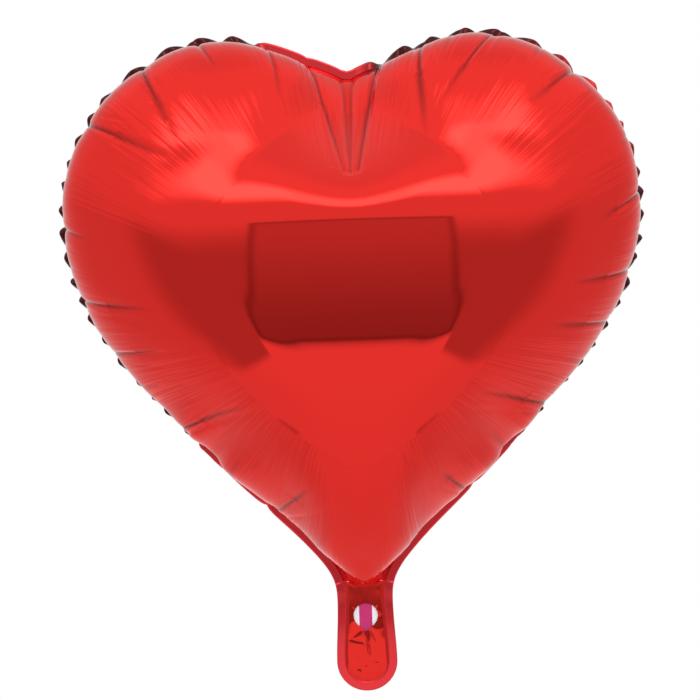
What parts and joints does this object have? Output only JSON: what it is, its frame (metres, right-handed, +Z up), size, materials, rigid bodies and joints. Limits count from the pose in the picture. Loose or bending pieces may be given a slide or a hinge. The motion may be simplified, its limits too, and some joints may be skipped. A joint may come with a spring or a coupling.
{
  "type": "heart-shaped foil balloon",
  "caption": "Inflated heart-shaped foil balloon, sealed round a flat rim, with a folding filling neck and self-sealing film valve.",
  "frame": {"origin": "tie point: middle of the line where the flat neck meets the tip of the heart", "axes": "+Z up from the tip to the cleft, +X to the right seen from the front, +Y from the front sheet to the back sheet"},
  "size_m": [0.363, 0.1672, 0.4085],
  "materials": {
    "red_foil": "mirror-bright red metallised film",
    "sealed_foil": "heat-sealed double red film, slightly duller",
    "valve_film": "clear polyethylene film",
    "release_print": "matt magenta release print"
  },
  "bodies": {
    "heart": {"front_foil_panel": "red_foil", "back_foil_panel": "red_foil", "heart_sealed_rim": "sealed_foil", "valve_tail_front_film": "valve_film", "valve_tail_back_film": "valve_film", "valve_tail_release_strip": "release_print"},
    "neck": {"neck_front_foil": "red_foil", "neck_back_foil": "red_foil", "neck_sealed_rim": "sealed_foil", "valve_mouth_front_film": "valve_film", "valve_mouth_back_film": "valve_film", "valve_mouth_release_strip": "release_print"}
  },
  "joints": [
    {"name": "neck_fold", "type": "hinge", "parent": "heart", "child": "neck", "pos_m": [0, 0, 0], "axis": [1, 0, 0], "range_deg": [-90, 90]}
  ]
}
